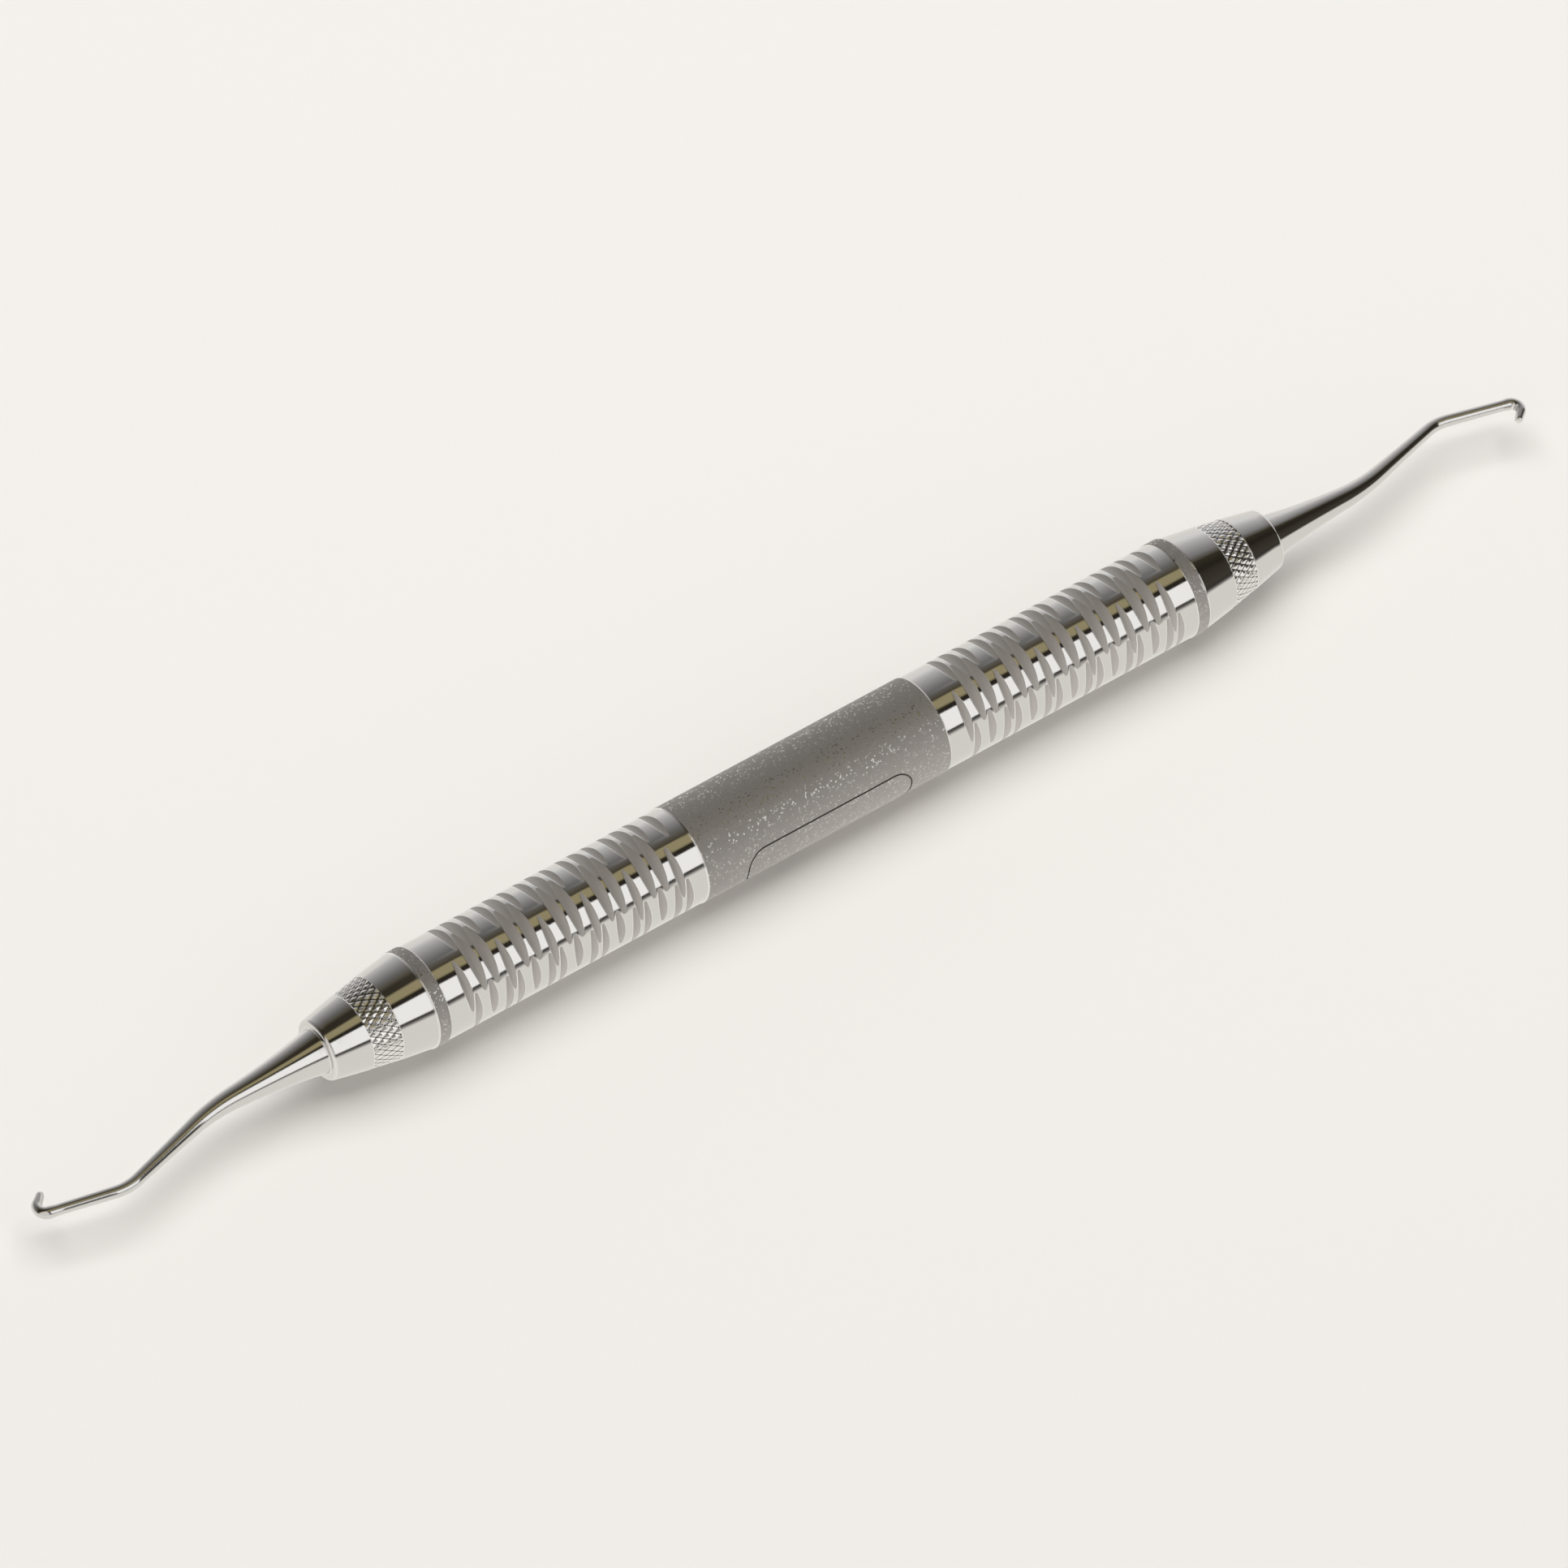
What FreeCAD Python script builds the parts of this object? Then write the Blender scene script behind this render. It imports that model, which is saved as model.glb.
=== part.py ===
"""Double-ended Gracey curette: hollow steel handle, two pressed end cones, two one-piece working ends.

The handle lies along X with +Z up. The origin is on the surface that it rests on, midway along it.
The two ends are the same pieces, turned half a turn about Z. All sizes are in millimetres.
"""
import FreeCAD, Part
import math
import os

Vector = FreeCAD.Vector

# Handle tube: matte grip in the middle, two polished zones, a matte ring at each end
grip_radius = 5.05
zone_radius = 4.97
bore_radius = 4.4
grip_length = 28.7
zone_length = 29.85
ring_width = 1.35
ring_chamfer = 0.08

# Frame engraved on the grip, centred this many degrees from the top towards the viewer
frame_length = 19.4
frame_width = 5.0
frame_corner = 2.0
frame_line = 0.16
frame_depth = 0.06
frame_angle = 104.0

# End cone: a plug pressed into the tube, with a blind bore for the tang
cone_length = 10.6
cone_big_radius = 4.97
cone_small_radius = 3.1
cone_bulge = 0.12
lip_radius = 0.35
spigot_length = 6.0
spigot_chamfer = 0.3
tang_radius = 2.4
tang_length = 8.0
tang_end_clearance = 0.5

# Knurled band round the cone
knurl_start = 3.75
knurl_width = 2.9
knurl_depth = 0.1

# Shank, from the mouth of the cone: first bend, elbow and heel of the blade
root_diameter = 4.7
slim_diameter = 1.0
taper_length = 8.8
first_bend_along = 11.9
first_bend_dip = 0.25
elbow_along = 23.45
elbow_aside = 3.06
elbow_dip = 0.72
heel_along = 30.95
heel_aside = 1.06
heel_dip = 0.88
first_bend_radius = 20.0
elbow_radius = 5.0

# Blade: the end of the bar curled back, with a round back and toe
blade_radius = 0.9
blade_turn = 125.0
blade_length = 1.0
heel_radius = 0.62
toe_radius = 0.44

# Face: ground flat on the inner side of the curl, from a corner beside the terminal shank.
# It leans so that it stands 70 degrees to that shank, which leaves the lower edge as the working one.
face_corner_along = 0.60
face_corner_aside = 0.68
face_turn = 116.0
face_to_shank = 70.0
face_corner_radius = 0.12

# Round sections that the shank and the blade are drawn through
root_section_count = 3
first_bend_section_count = 3
elbow_section_count = 3
blade_section_count = 7
toe_latitudes = (0, 30, 55, 75)

# Worked out from the sizes above
zone_inner = grip_length / 2
zone_outer = zone_inner + zone_length
tube_end = zone_outer + ring_width
mouth = tube_end + cone_length
axis_height = grip_radius
first_bend = Vector(first_bend_along, 0, -first_bend_dip)
elbow = Vector(elbow_along, elbow_aside, -elbow_dip)
heel = Vector(heel_along, heel_aside, -heel_dip)

ORIGIN = Vector(0, 0, 0)
ALONG = Vector(1, 0, 0)
UP = Vector(0, 0, 1)


def line_path(points):
    """Straight edges through points given as (x, radius), drawn above the axis."""
    corners = [Vector(x, 0, radius) for x, radius in points]
    return [Part.makeLine(a, b) for a, b in zip(corners, corners[1:])]


def turned(edges):
    """Solid turned about the handle's axis from a closed outline."""
    return Part.Face(Part.Wire(edges)).revolve(ORIGIN, ALONG, 360)


def arc_edge(start, middle, end):
    return Part.Arc(start, middle, end).toShape()


# Handle tube
def rounded_prism(length, width, corner, height):
    """Upright block with rounded corners, standing on the handle's axis."""
    block = Part.makeBox(length, width, height, Vector(-length / 2, -width / 2, 0))
    upright = [edge for edge in block.Edges if abs(edge.tangentAt(edge.FirstParameter).z) > 0.9]
    return block.makeFillet(corner, upright)


def engraved_frame():
    """Thin closed groove that follows the grip's surface."""
    height = grip_radius + 1
    outer = rounded_prism(frame_length, frame_width, frame_corner, height)
    inner = rounded_prism(frame_length - 2 * frame_line, frame_width - 2 * frame_line,
                          frame_corner - frame_line, height)
    floor = Part.makeCylinder(grip_radius - frame_depth, frame_length * 2,
                              Vector(-frame_length, 0, 0), ALONG)
    groove = outer.cut(inner).cut(floor)
    groove.rotate(ORIGIN, ALONG, frame_angle)
    return groove


def handle_tube():
    half = [(0, grip_radius), (zone_inner, grip_radius), (zone_inner, zone_radius),
            (zone_outer, zone_radius), (zone_outer, grip_radius),
            (tube_end - ring_chamfer, grip_radius), (tube_end, grip_radius - ring_chamfer),
            (tube_end, bore_radius)]
    other_half = [(-x, radius) for x, radius in reversed(half[1:])]
    return turned(line_path(half + other_half + half[:1])).cut(engraved_frame())


# End cone
def cone_radius_at(distance):
    """Radius of the smooth cone at a distance from the tube: a straight taper with a shallow bulge."""
    along = distance / cone_length
    straight = cone_big_radius + (cone_small_radius - cone_big_radius) * along
    return straight + cone_bulge * 4 * along * (1 - along)


def cone_side(start, end, drop=0.0):
    """Two points on the cone's side, at distances from the tube."""
    return [(tube_end + distance, cone_radius_at(distance) - drop) for distance in (start, end)]


def end_cone():
    lip_start = cone_length - lip_radius
    knurl_end = knurl_start + knurl_width
    lip_bevel = lip_radius * (1 - math.sqrt(0.5))
    spigot_end = tube_end - spigot_length
    pocket_end = mouth - tang_length - tang_end_clearance
    root = [(spigot_end, 0), (spigot_end, bore_radius - spigot_chamfer),
            (spigot_end + spigot_chamfer, bore_radius), (tube_end, bore_radius)]
    side = (cone_side(0, knurl_start) + cone_side(knurl_start, knurl_end, knurl_depth)
            + cone_side(knurl_end, lip_start))
    lip_start_radius = side[-1][1]
    lip = [(mouth - lip_bevel, lip_start_radius - lip_bevel), (mouth, lip_start_radius - lip_radius)]
    pocket = [(mouth, tang_radius), (pocket_end, tang_radius), (pocket_end, 0), (spigot_end, 0)]
    return turned(line_path(root + side + lip + pocket))


# Working end
def unit(vector):
    return Vector(vector).normalize()


def bend(before, corner, after, radius, count):
    """Points and directions along the arc that rounds a corner of the shank."""
    enter = unit(corner - before)
    leave = unit(after - corner)
    turn = enter.getAngle(leave)
    reach = radius * math.tan(turn / 2)
    side = unit(leave - enter * enter.dot(leave))
    start = corner - enter * reach
    stations = []
    for step in range(count):
        angle = turn * step / (count - 1)
        point = start + enter * (radius * math.sin(angle)) + side * (radius * (1 - math.cos(angle)))
        stations.append((point, enter * math.cos(angle) + side * math.sin(angle)))
    return stations


def straight(start, end, count):
    """Evenly spaced points strictly between two points."""
    direction = unit(end - start)
    return [(start + (end - start) * (step / (count + 1)), direction) for step in range(1, count + 1)]


def blade_frame():
    """Direction of the terminal shank, and the blade's level and upright directions there."""
    forward = unit(heel - elbow)
    level = unit(UP.cross(forward))
    return forward, level, forward.cross(level)


def curled(degrees):
    """Direction of the bar once it has turned back by this much from the terminal shank."""
    forward, level, upright = blade_frame()
    angle = math.radians(degrees)
    return forward * math.cos(angle) - level * math.sin(angle)


def section(point, direction, upright, radius):
    """Round section of the stock, always started from the same side so that the loft doesn't twist."""
    sideways = unit(upright.cross(direction))
    over = unit(direction.cross(sideways))
    near, top = point + sideways * radius, point + over * radius
    far, bottom = point - sideways * radius, point - over * radius
    return Part.Wire([arc_edge(near, top, far), arc_edge(far, bottom, near)])


def shank_radius(distance):
    """The shank slims down quickly behind the cone, then ever more slowly."""
    return (slim_diameter + (root_diameter - slim_diameter) * math.exp(-distance / taper_length)) / 2


def shank_stations():
    """Points, directions and radii from the cone's mouth to the heel of the blade."""
    first = bend(ORIGIN, first_bend, elbow, first_bend_radius, first_bend_section_count)
    second = bend(first_bend, elbow, heel, elbow_radius, elbow_section_count)
    root = [(ORIGIN, unit(first_bend))]
    path = (root + straight(ORIGIN, first[0][0], root_section_count)
            + first + second + straight(second[-1][0], heel, 1))
    return [(point, direction, shank_radius(point.x)) for point, direction in path]


def blade_stations():
    """Points, directions and radii round the blade, from the heel to the end of the toe."""
    forward, level, upright = blade_frame()
    arc_length = blade_radius * math.radians(blade_turn)
    slimming = (heel_radius - toe_radius) / (arc_length + blade_length)
    stations = []
    last = blade_section_count - 1
    for step in range(blade_section_count):
        share = step / last
        angle = math.radians(blade_turn) * share
        point = (heel + forward * (blade_radius * math.sin(angle))
                 - level * (blade_radius * (1 - math.cos(angle))))
        stations.append((point, curled(blade_turn * share), heel_radius - slimming * arc_length * share))
    direction = curled(blade_turn)
    toe_centre = point + direction * blade_length
    for latitude in toe_latitudes:
        turn = math.radians(latitude)
        stations.append((toe_centre + direction * (toe_radius * math.sin(turn)), direction,
                         toe_radius * math.cos(turn)))
    return stations


def face_cutter():
    """Leaning prism inside the curl: one side lies along the shank, the other grinds the face."""
    forward, level, upright = blade_frame()
    along_face = curled(face_turn)
    off_face = curled(face_turn + 90)
    lean = math.radians(90 - face_to_shank)
    axis = upright * math.cos(lean) - off_face * math.sin(lean)
    reach = 6 * heel_radius
    corner = heel + forward * face_corner_along - level * face_corner_aside - axis * (reach / 2)
    half_angle = math.radians(180 - face_turn) / 2
    run = face_corner_radius / math.tan(half_angle)
    inward = unit(along_face - forward)
    middle = corner + inward * (face_corner_radius / math.sin(half_angle) - face_corner_radius)
    on_shank, on_face = corner - forward * run, corner + along_face * run
    shank_end, face_end = corner - forward * reach, corner + along_face * reach
    outline = [arc_edge(on_shank, middle, on_face),
               Part.makeLine(on_face, face_end),
               Part.makeLine(face_end, face_end - forward * reach),
               Part.makeLine(face_end - forward * reach, shank_end),
               Part.makeLine(shank_end, on_shank)]
    return Part.Face(Part.Wire(outline)).extrude(axis * reach)


def working_end():
    forward, level, upright = blade_frame()
    shank = [section(point, direction, UP, radius) for point, direction, radius in shank_stations()]
    blade = [section(point, direction, upright, radius) for point, direction, radius in blade_stations()]
    stock = Part.makeLoft(shank + blade, True, True)
    tang = Part.makeCylinder(tang_radius, tang_length, Vector(-tang_length, 0, 0), ALONG)
    whole = stock.cut(face_cutter()).fuse(tang)
    whole.translate(Vector(mouth, 0, 0))
    return whole


# Write one file for each piece
def half_turn(shape):
    turned_shape = shape.copy()
    turned_shape.rotate(ORIGIN, UP, 180)
    return turned_shape


def main():
    right_cone = end_cone()
    right_end = working_end()
    pieces = {
        "handle_tube": handle_tube(),
        "right_end_cone": right_cone,
        "left_end_cone": half_turn(right_cone),
        "right_working_end": right_end,
        "left_working_end": half_turn(right_end),
    }
    os.makedirs("parts", exist_ok=True)
    for name, shape in pieces.items():
        shape.translate(Vector(0, 0, axis_height))
        shape.exportStep(f"parts/{name}.step")
        box = shape.BoundBox
        print(name, shape.ShapeType, len(shape.Solids), shape.isValid(), round(shape.Volume, 3),
              [round(v, 3) for v in (box.XMin, box.XMax, box.YMin, box.YMax, box.ZMin, box.ZMax)])


main()
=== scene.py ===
# %% [markdown]
# # A double-ended curette in polished and blasted steel
#
# The instrument is a hollow round handle with a plug at each end, and each plug holds one thin bent shank
# that ends in a tiny hooked blade. Everything is stainless steel, so there is no colour to help: what the
# eye reads is where the steel is a mirror, where it is blasted dull, and where it is cut. Each piece is made
# once with plain modelling tools, and the far end is the near end turned half a turn.

# %% Load the measured model
import math
import bpy
from mathutils import Matrix, Vector


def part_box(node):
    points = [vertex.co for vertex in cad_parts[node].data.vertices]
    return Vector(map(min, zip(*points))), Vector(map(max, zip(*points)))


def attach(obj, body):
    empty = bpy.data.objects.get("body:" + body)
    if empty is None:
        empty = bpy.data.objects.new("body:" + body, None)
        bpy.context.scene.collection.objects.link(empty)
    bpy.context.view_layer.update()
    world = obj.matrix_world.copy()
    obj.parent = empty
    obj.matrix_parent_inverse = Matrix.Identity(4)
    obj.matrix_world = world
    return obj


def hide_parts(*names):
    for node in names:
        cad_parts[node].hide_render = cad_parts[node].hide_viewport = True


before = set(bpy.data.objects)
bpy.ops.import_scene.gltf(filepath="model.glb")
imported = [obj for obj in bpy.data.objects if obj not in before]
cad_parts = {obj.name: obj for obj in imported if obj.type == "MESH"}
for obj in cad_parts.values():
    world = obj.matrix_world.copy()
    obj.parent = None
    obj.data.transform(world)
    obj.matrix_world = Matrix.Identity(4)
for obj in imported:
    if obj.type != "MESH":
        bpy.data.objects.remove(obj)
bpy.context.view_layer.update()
MM = 0.001

# %% [markdown]
# ## Sizes
#
# The lengths along the handle come from the measured model's own boxes, so a piece can't drift from it. The
# sizes that a box can't give, such as the recesses and the route of the shank, are named in millimetres next
# to the step that uses them.

# %% Sizes of the handle in mm, along X and from the handle's axis
tube_low, tube_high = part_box("handle_tube")
cone_low, cone_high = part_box("right_end_cone")
AXIS_HEIGHT = (tube_low.z + tube_high.z) / 2 / MM
TUBE_END = tube_high.x / MM
MOUTH = cone_high.x / MM
SPIGOT_END = cone_low.x / MM
GRIP_RADIUS = (tube_high.z - tube_low.z) / 2 / MM
GRIP_HALF = 14.35
RING_WIDTH = 1.35
ZONE_OUTER = TUBE_END - RING_WIDTH
ZONE_RADIUS = 4.97
BORE_RADIUS = 4.4
EDGE = 0.08
# Two places closer than this are the same place
CLOSE = 0.01
print(f"axis {AXIS_HEIGHT:.2f} mm above the floor, tube to {TUBE_END:.2f}, mouth at {MOUTH:.2f}")

# %% [markdown]
# ## Small helpers
#
# Nearly every step is an operator, and an operator acts on what is selected. So one helper selects a single
# object and makes it active, and two select vertices or edges in edit mode by where they are, which stands in
# for clicking on them. One more finishes a mesh, and the last cuts a piece with another and throws the cutter
# away.

# %% Helpers for selecting and cutting
def only(piece):
    """Select one object and make it active."""
    bpy.ops.object.select_all(action="DESELECT")
    piece.select_set(True)
    bpy.context.view_layer.objects.active = piece


def select_where(piece, wanted):
    """In edit mode, select the vertices whose place passes the test."""
    bpy.ops.object.mode_set(mode="EDIT")
    bpy.ops.mesh.select_mode(type="VERT")
    bpy.ops.mesh.select_all(action="DESELECT")
    bpy.ops.object.mode_set(mode="OBJECT")
    for vertex in piece.data.vertices:
        vertex.select = bool(wanted(vertex.co))
    bpy.ops.object.mode_set(mode="EDIT")


def select_edges(piece, wanted):
    """In edit mode, select the edges whose two vertices pass the test."""
    bpy.ops.object.mode_set(mode="EDIT")
    bpy.ops.mesh.select_mode(type="EDGE")
    bpy.ops.mesh.select_all(action="DESELECT")
    bpy.ops.object.mode_set(mode="OBJECT")
    for edge in piece.data.edges:
        edge.select = bool(wanted(*(piece.data.vertices[i] for i in edge.vertices)))
    bpy.ops.object.mode_set(mode="EDIT")


def settle(piece, angle=30):
    """Put the object's place into its mesh, point its faces outwards and shade it smooth up to an angle."""
    only(piece)
    bpy.ops.object.transform_apply(location=True, rotation=True, scale=True)
    bpy.ops.object.mode_set(mode="EDIT")
    bpy.ops.mesh.select_all(action="SELECT")
    bpy.ops.mesh.remove_doubles(threshold=1e-7)
    bpy.ops.mesh.normals_make_consistent(inside=False)
    bpy.ops.object.mode_set(mode="OBJECT")
    bpy.ops.object.shade_smooth_by_angle(angle=math.radians(angle))


def cut(piece, cutter):
    """Cut one piece with another; the new faces keep the cutter's finish."""
    only(piece)
    modifier = piece.modifiers.new("cut", "BOOLEAN")
    modifier.operation = "DIFFERENCE"
    modifier.solver = "EXACT"
    modifier.material_mode = "TRANSFER"
    modifier.object = cutter
    bpy.ops.object.modifier_apply(modifier=modifier.name)
    bpy.data.objects.remove(cutter)


# %% Helpers for places and for materials
def radius_of(point):
    """How far a point of a mesh is from the handle's axis, in mm."""
    return math.hypot(point.y, point.z - AXIS_HEIGHT * MM) / MM


def evenly(start, end, count):
    """Both ends and the places between them, count steps apart."""
    return [start + (end - start) * i / count for i in range(count + 1)]


def linear(hex_colour):
    """A colour written as sRGB hex, as the linear values that shaders take."""
    channels = [int(hex_colour[i:i + 2], 16) / 255 for i in (1, 3, 5)]
    return [c / 12.92 if c <= 0.04045 else ((c + 0.055) / 1.055) ** 2.4 for c in channels] + [1.0]


def node(tree, kind, links=None, **settings):
    """Add a node, set its properties and sockets, and link its inputs."""
    made = tree.nodes.new(kind)
    for name, value in settings.items():
        setattr(made, name, value)
    for socket, source in (links or {}).items():
        if isinstance(source, bpy.types.NodeSocket):
            tree.links.new(source, made.inputs[socket])
        else:
            made.inputs[socket].default_value = source
    return made


# %% [markdown]
# ## Finishes
#
# All of it is one metal, so the finishes differ mostly in how rough they are and how the roughness is
# spread, beside some painted highlight and painted shade. A mirror polish still has faint marks from the
# buffing wheel, and the soft wheel rounds every edge that it passes; those rounded edges are also painted
# brighter, a painted highlight. Bead blasting leaves tiny round dents about 0.15 mm wide, and here and there
# one of them is smooth enough to sparkle. The recesses are dull because the wheel never reaches into them.

# %% Plain steels: one colour and one roughness each
BUFFED = "#DAD8D5"
# Colour of the edges, painted brighter than the mirror: a painted highlight
EDGE_HIGHLIGHT = "#FAF9F7"
BLASTED = "#C8C4C1"
UNBUFFED = "#DCD8D5"


def steel(name, colour, roughness):
    """A bare metal with nothing on it yet; returns it with its tree and its shader."""
    material = bpy.data.materials.new(name)
    material.use_nodes = True
    shader = material.node_tree.nodes["Principled BSDF"]
    shader.inputs["Base Color"].default_value = linear(colour)
    shader.inputs["Metallic"].default_value = 1.0
    shader.inputs["Roughness"].default_value = roughness
    return material, material.node_tree, shader


# The tops of the pressed diamonds, painted brighter: a painted highlight
KNURL_TOPS_HIGHLIGHT = steel("knurled stainless steel", "#F0EEEB", 0.22)[0]
# The grooves between them, painted dark: painted shade
PAINTED_GROOVE_SHADE = steel("painted shade in the knurl grooves", "#6C6966", 0.4)[0]
# The blade's face, honed on a fine stone
HONED = steel("honed stainless steel", "#CBC9C7", 0.3)[0]
# Lines cut and darkened by the engraving tool
ENGRAVED = steel("engraved steel", "#5A5552", 0.5)[0]
for finish in (KNURL_TOPS_HIGHLIGHT, PAINTED_GROOVE_SHADE, HONED, ENGRAVED):
    print("plain steel:", finish.name)

# %% Mirror polish
# Sizes in mm: the marks are narrow along the handle and drawn out round it
BUFF_MARK_WIDTH = 0.12
BUFF_MARK_LENGTH = 11.1
BUFF_DEPTH = 0.003
# Radius of the rounded edges in mm, which also sets the width of their painted highlight
EDGE_ROUNDING_AND_HIGHLIGHT = 0.2


def mirror_polished_steel():
    """Buffed on a cloth wheel: a sharp mirror with faint marks round the piece, rounded edges and a painted
    highlight along them.
    """
    material, tree, shader = steel("mirror polished stainless steel", BUFFED, 0.06)
    fine, drawn_out = 1 / (BUFF_MARK_WIDTH * MM), 1 / (BUFF_MARK_LENGTH * MM)
    place = node(tree, "ShaderNodeTexCoord")
    buffing = node(tree, "ShaderNodeMapping", {"Vector": place.outputs["Object"],
                                               "Scale": (fine, drawn_out, drawn_out)})
    marks = node(tree, "ShaderNodeTexNoise", {"Vector": buffing.outputs["Vector"], "Scale": 1.0,
                                              "Detail": 2.0})
    spread = node(tree, "ShaderNodeMapRange", {"Value": marks.outputs["Fac"], "From Min": 0.35,
                                               "From Max": 0.65, "To Min": 0.04, "To Max": 0.08})
    tree.links.new(spread.outputs["Result"], shader.inputs["Roughness"])
    rounded_edges = node(tree, "ShaderNodeBevel", {"Radius": EDGE_ROUNDING_AND_HIGHLIGHT * MM})
    surface = node(tree, "ShaderNodeNewGeometry")
    level = node(tree, "ShaderNodeVectorMath", {0: rounded_edges.outputs["Normal"],
                                                1: surface.outputs["Normal"]}, operation="DOT_PRODUCT")
    # Where the rounded normal leans off the face's own normal, at edges, the colour is painted brighter: a
    # painted highlight
    edge_highlight_share = node(tree, "ShaderNodeMapRange", {"Value": level.outputs["Value"], "From Min": 0.985,
                                             "From Max": 0.998, "To Min": 1.0, "To Max": 0.0})
    colour = node(tree, "ShaderNodeMix", {"Factor": edge_highlight_share.outputs["Result"], 6: linear(BUFFED),
                                          7: linear(EDGE_HIGHLIGHT)}, data_type="RGBA")
    tree.links.new(colour.outputs[2], shader.inputs["Base Color"])
    ripple = node(tree, "ShaderNodeBump", {"Height": marks.outputs["Fac"], "Strength": 0.2,
                                           "Distance": BUFF_DEPTH * MM,
                                           "Normal": rounded_edges.outputs["Normal"]})
    tree.links.new(ripple.outputs["Normal"], shader.inputs["Normal"])
    return material


POLISHED = mirror_polished_steel()

# %% Dull finishes
# Sizes of the dents, the sparkling cells and the grain in mm, then two values of roughness
DENT = 0.15
DENT_DEPTH = 0.03
SPARKLE = 0.16
GRAIN = 0.1
GRAIN_DEPTH = 0.015
DULL = 0.75
BRIGHT = 0.25


def bead_blasted_steel():
    """Blasted with glass beads: dull and dented, and every so often a bright dent."""
    material, tree, shader = steel("bead blasted stainless steel", BLASTED, DULL)
    place = node(tree, "ShaderNodeTexCoord")
    dents = node(tree, "ShaderNodeTexNoise", {"Vector": place.outputs["Object"], "Scale": 1 / (DENT * MM),
                                              "Detail": 2.0, "Roughness": 0.6})
    bump = node(tree, "ShaderNodeBump", {"Height": dents.outputs["Fac"], "Strength": 0.7,
                                         "Distance": DENT_DEPTH * MM})
    tree.links.new(bump.outputs["Normal"], shader.inputs["Normal"])
    beads = node(tree, "ShaderNodeTexVoronoi", {"Vector": place.outputs["Object"],
                                                "Scale": 1 / (SPARKLE * MM)})
    bright = node(tree, "ShaderNodeMapRange", {"Value": beads.outputs["Color"], "From Min": 0.76,
                                               "From Max": 0.82, "To Min": DULL, "To Max": BRIGHT})
    tree.links.new(bright.outputs["Result"], shader.inputs["Roughness"])
    return material


def recessed_steel():
    """The floor of a recess, out of the buffing wheel's reach: finely dull."""
    material, tree, shader = steel("dull steel of the recesses", UNBUFFED, DULL)
    place = node(tree, "ShaderNodeTexCoord")
    grain = node(tree, "ShaderNodeTexNoise", {"Vector": place.outputs["Object"], "Scale": 1 / (GRAIN * MM),
                                              "Detail": 1.0})
    bump = node(tree, "ShaderNodeBump", {"Height": grain.outputs["Fac"], "Strength": 0.5,
                                         "Distance": GRAIN_DEPTH * MM})
    tree.links.new(bump.outputs["Normal"], shader.inputs["Normal"])
    return material


MATTE = bead_blasted_steel()
RECESS = recessed_steel()
print("worked steels:", POLISHED.name, "-", MATTE.name, "-", RECESS.name)

# %% [markdown]
# ## Turning on a lathe
#
# The handle and the plugs are turned pieces. A spin of a drawn outline would do, but the outline would have
# to be drawn first. Growing the piece ring by ring is closer to how a lathe makes it, and every ring stays
# easy to select later: a circle is added, then extruded along the axis and scaled to the next diameter.

# %% Grow a turned piece ring by ring
AROUND = 192


def turn(name, rings, finish, around=AROUND):
    """A turned piece from (x, radius) rings in mm. An outline that doesn't end where it began is capped."""
    x, radius = rings[0]
    bpy.ops.object.select_all(action="DESELECT")
    bpy.ops.mesh.primitive_circle_add(vertices=around, radius=radius * MM,
                                      location=(x * MM, 0, AXIS_HEIGHT * MM),
                                      rotation=(0, math.pi / 2, 0))
    piece = bpy.context.object
    piece.name = piece.data.name = name
    bpy.ops.object.transform_apply(location=True, rotation=True, scale=True)
    bpy.ops.object.mode_set(mode="EDIT")
    bpy.ops.mesh.select_all(action="SELECT")
    for next_x, next_radius in rings[1:]:
        bpy.ops.mesh.extrude_region_move(TRANSFORM_OT_translate={"value": ((next_x - x) * MM, 0, 0)})
        if next_radius != radius:
            size = next_radius / radius
            bpy.ops.transform.resize(value=(1, size, size),
                                     center_override=(next_x * MM, 0, AXIS_HEIGHT * MM))
        x, radius = next_x, next_radius
    if rings[-1] != rings[0]:
        bpy.ops.mesh.select_all(action="SELECT")
        bpy.ops.mesh.fill_holes(sides=0)
    bpy.ops.object.mode_set(mode="OBJECT")
    piece.data.materials.append(finish)
    settle(piece)
    return piece


# %% The handle's tube, before anything is cut into it
def handle_blank():
    """Grip, a slightly thinner zone, a ring and the bore, and the same again the other way."""
    half = [(GRIP_HALF - EDGE, GRIP_RADIUS), (GRIP_HALF, GRIP_RADIUS - EDGE), (GRIP_HALF, ZONE_RADIUS),
            (ZONE_OUTER, ZONE_RADIUS), (ZONE_OUTER, GRIP_RADIUS - EDGE / 2), (ZONE_OUTER + EDGE, GRIP_RADIUS),
            (TUBE_END - EDGE, GRIP_RADIUS), (TUBE_END, GRIP_RADIUS - EDGE), (TUBE_END, BORE_RADIUS)]
    other = [(-x, radius) for x, radius in reversed(half)]
    return turn("handle", other + half + other[:1], POLISHED)


handle = handle_blank()
print("handle blank:", len(handle.data.polygons), "faces")

# %% [markdown]
# ## The dull recesses
#
# The handle's two long zones carry rows of shallow pointed ovals that run round the handle, so that wet
# gloves don't slip. On the real tube a pointed tool with a rounded nose is fed in and out while the tube
# turns off centre. A torus that is held off centre cuts the same shape: it goes deepest in the middle of the
# oval and leaves the surface at both points. A torus of four segments has a pointed nose; its inner edge is
# bevelled round, and stretching it along the handle sets the width of the oval. All the ovals of a column
# are joined, and the tube is cut by one column at a time, because neighbours touch.

# %% One oval cutter
RECESS_DEPTH = 0.12
NOSE_SIZE = 0.6
NOSE_ROUNDING = 0.1
# The cutter runs on a little past both points of the oval
PAST_THE_POINTS = 1.08


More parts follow.
